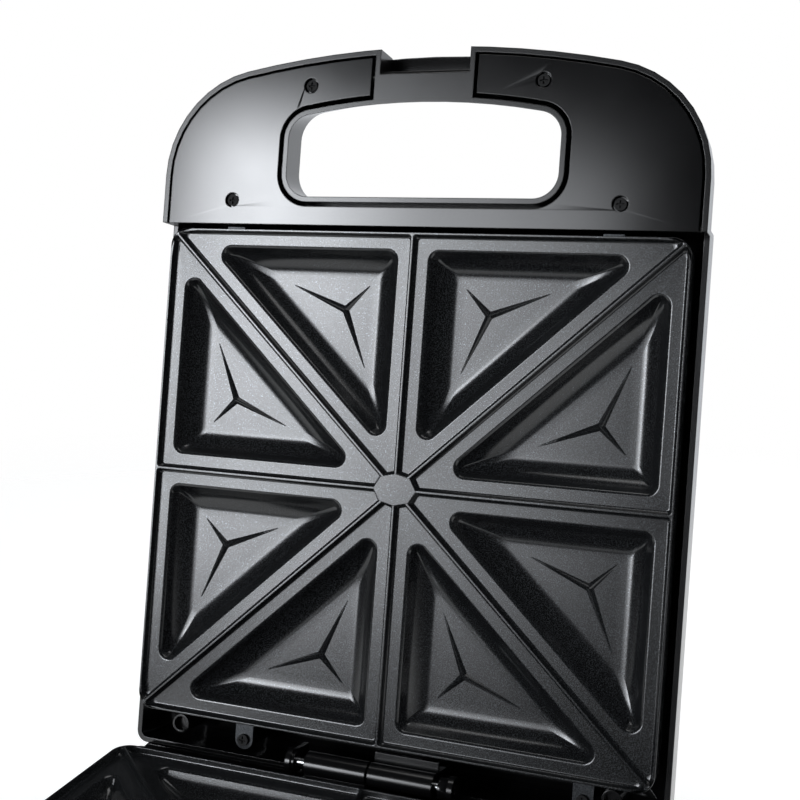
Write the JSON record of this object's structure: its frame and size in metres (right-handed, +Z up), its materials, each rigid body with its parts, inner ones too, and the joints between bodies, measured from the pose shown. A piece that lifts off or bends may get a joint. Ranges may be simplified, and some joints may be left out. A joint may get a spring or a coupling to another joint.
{
  "type": "sandwich toaster",
  "caption": "Countertop sandwich toaster with triangular pockets in two ribbed non-stick plates, looped hand grips, a centre hinge at the back and a swing latch at the front, lid standing open.",
  "frame": {"origin": "middle of the open toaster's bounding box, on the surface that its feet stand on", "axes": "+X to the right along the hinge, +Y towards the hinge and the back, -Y towards the handles, +Z up"},
  "size_m": [0.255, 0.4146, 0.3674],
  "materials": {
    "shell_plastic": "semi-gloss black heat-resistant plastic",
    "cover_plastic": "satin black plastic",
    "nonstick": "cast aluminium with a fine-speckled dark grey non-stick coating",
    "element_sheath": "oxidised steel sheath",
    "reflector_sheet": "bright aluminised sheet",
    "clip_steel": "zinc-plated spring steel",
    "black_screws": "black-oxide steel",
    "foot_rubber": "matte black rubber",
    "pin_steel": "plain steel",
    "thermostat_case": "dull metal case",
    "ceramic": "cream heat-resistant moulding",
    "gland_rubber": "black rubber bush",
    "lead_sleeve": "heat-resistant lead covering",
    "red_lens": "clear red plastic",
    "green_lens": "clear green plastic",
    "lamp_glass": "small glow lamp",
    "fuse_case": "glass-fibre sleeve"
  },
  "bodies": {
    "base": {"base_shell": "shell_plastic", "base_handle_cover": "cover_plastic", "base_plate": "nonstick", "base_element": "element_sheath", "base_reflector": "reflector_sheet", "base_plate_clips": "clip_steel", "base_clip_screws": "black_screws", "base_cover_screws": "black_screws", "base_feet": "foot_rubber", "hinge_pins": "pin_steel", "latch_pin": "pin_steel", "thermostat": "thermostat_case", "terminal_block": "ceramic", "cord_gland": "gland_rubber", "base_wiring": "lead_sleeve"},
    "lid": {"lid_shell": "shell_plastic", "lid_handle_cover": "cover_plastic", "lid_plate": "nonstick", "lid_element": "element_sheath", "lid_reflector": "reflector_sheet", "lid_plate_clips": "clip_steel", "lid_clip_screws": "black_screws", "lid_cover_screws": "black_screws", "power_lens": "red_lens", "ready_lens": "green_lens", "power_lamp": "lamp_glass", "ready_lamp": "lamp_glass", "lamp_holder": "ceramic", "thermal_fuse": "fuse_case", "lid_wiring": "lead_sleeve"},
    "latch": {"latch": "cover_plastic"}
  },
  "joints": [
    {"name": "lid_hinge", "type": "hinge", "parent": "base", "child": "lid", "pos_m": [0, 0.12437, 0.05], "axis": [1, 0, 0], "range_deg": [0, 100.6]},
    {"name": "latch_pivot", "type": "hinge", "parent": "base", "child": "latch", "pos_m": [0, -0.19153, 0.039], "axis": [-1, 0, 0], "range_deg": [0, 28]}
  ]
}
